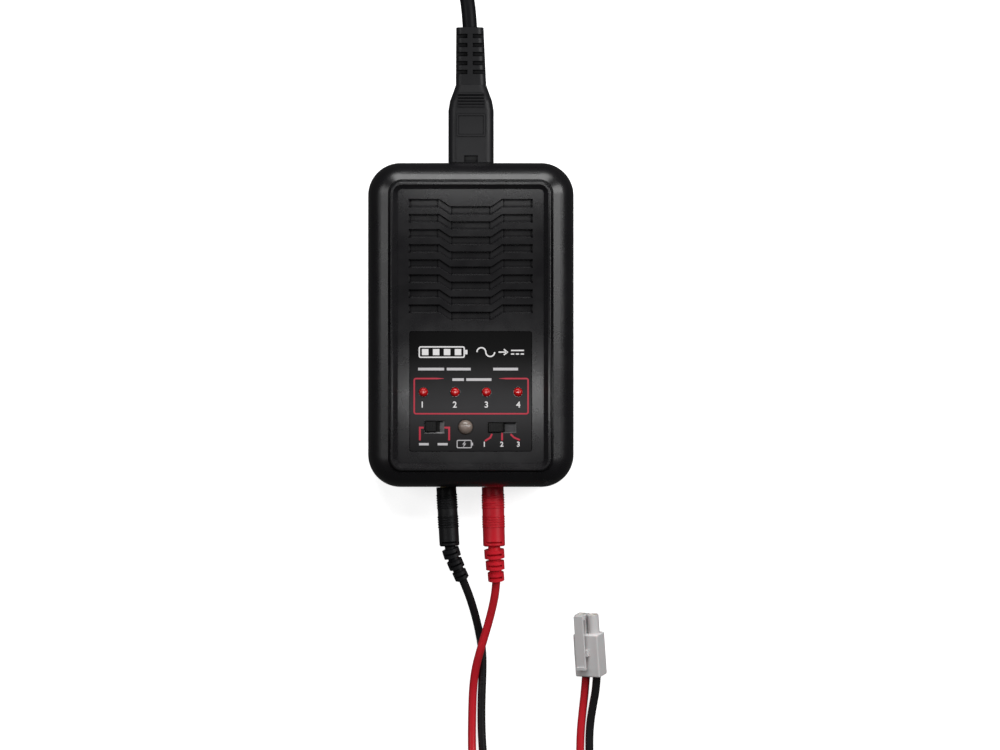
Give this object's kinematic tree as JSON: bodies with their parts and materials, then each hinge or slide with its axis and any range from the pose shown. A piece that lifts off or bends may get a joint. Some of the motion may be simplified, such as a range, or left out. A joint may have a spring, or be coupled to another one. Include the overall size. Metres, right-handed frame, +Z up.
{
  "type": "balance battery charger",
  "caption": "Compact mains balance charger with slide switches, cell lights, balance sockets and banana outputs, with its mains lead and charging lead plugged in.",
  "frame": {"origin": "on the table under the middle of the case", "axes": "+Y towards the mains inlet, +X towards the balance sockets, +Z up"},
  "size_m": [0.0944, 0.4262, 0.037],
  "materials": {
    "case_black": "fine satin moulded ABS",
    "label_black": "satin printed overlay sheet",
    "label_grey": "blank matt sticker",
    "rubber_black": "matt",
    "screw_steel": "zinc plated",
    "board_green": "solder mask",
    "pin_metal": "plated",
    "bright_metal": "nickel plated",
    "light_red": "coloured clear epoxy",
    "light_milky": "milky epoxy",
    "knob_black": "satin",
    "socket_white": "nylon",
    "socket_red": "moulded",
    "socket_black": "moulded",
    "ferrite": "sintered",
    "winding_yellow": "polyester tape",
    "can_black": "sleeve",
    "box_blue": "moulded box",
    "copper": "enamelled wire",
    "heat_sink_metal": "extruded",
    "chip_black": "epoxy",
    "lead_black": "satin PVC",
    "lead_red": "satin silicone",
    "nylon_white": "natural nylon"
  },
  "bodies": {
    "root": {"top_cover": "case_black", "bottom_case": "case_black", "rubber_feet": "rubber_black", "rating_label": "label_grey", "case_screws": "screw_steel", "board_screws": "screw_steel", "control_screws": "screw_steel", "main_board": "board_green", "control_board": "board_green", "header_block": "chip_black", "header_pins": "pin_metal", "label_panel": "label_black", "cell_leds": "light_red", "status_led": "light_milky", "led_leads": "bright_metal", "chemistry_switch_frame": "bright_metal", "current_switch_frame": "bright_metal", "mains_inlet": "socket_black", "inlet_pins": "bright_metal", "output_socket_black": "socket_black", "output_socket_red": "socket_red", "socket_sleeves": "pin_metal", "balance_socket_2s": "socket_white", "balance_socket_3s": "socket_white", "balance_socket_4s": "socket_white", "balance_pins": "bright_metal", "transformer_core": "ferrite", "transformer_winding": "winding_yellow", "bulk_capacitor": "can_black", "output_capacitors": "can_black", "line_capacitor": "box_blue", "line_choke": "copper", "power_inductor": "ferrite", "fuse": "chip_black", "bridge_rectifier": "chip_black", "heat_sink": "heat_sink_metal", "power_transistors": "chip_black", "control_chip": "chip_black"},
    "chemistry_switch": {"chemistry_switch_knob": "knob_black"},
    "current_switch": {"current_switch_knob": "knob_black"},
    "mains_lead": {"mains_connector": "lead_black", "connector_contacts": "pin_metal", "mains_cord": "lead_black", "mains_coil": "lead_black", "mains_tail": "lead_black", "mains_plug": "lead_black", "plug_pins": "bright_metal"},
    "charge_lead": {"banana_grip_black": "lead_black", "banana_grip_red": "lead_red", "banana_pins": "pin_metal", "charge_wire_black": "lead_black", "charge_wire_red": "lead_red", "battery_connector": "nylon_white", "connector_pins": "pin_metal"},
    "latch": {"connector_latch": "nylon_white"}
  },
  "joints": [
    {"name": "chemistry_switch_slide", "type": "slide", "parent": "root", "child": "chemistry_switch", "axis": [1, 0, 0], "range_m": [0, 0.002]},
    {"name": "current_switch_slide", "type": "slide", "parent": "root", "child": "current_switch", "axis": [1, 0, 0], "range_m": [0, 0.004]},
    {"name": "mains_lead_pull", "type": "slide", "parent": "root", "child": "mains_lead", "axis": [0, 1, 0], "range_m": [0, 0.02]},
    {"name": "charge_lead_pull", "type": "slide", "parent": "root", "child": "charge_lead", "axis": [0, -1, 0], "range_m": [0, 0.024]},
    {"name": "latch_flex", "type": "hinge", "parent": "charge_lead", "child": "latch", "pos_m": [0.03795, -0.11236, 0.0091], "axis": [0.891, -0.026, 0.4533], "range_deg": [0, 6], "stiffness_Nm_per_rad": 0.05}
  ]
}
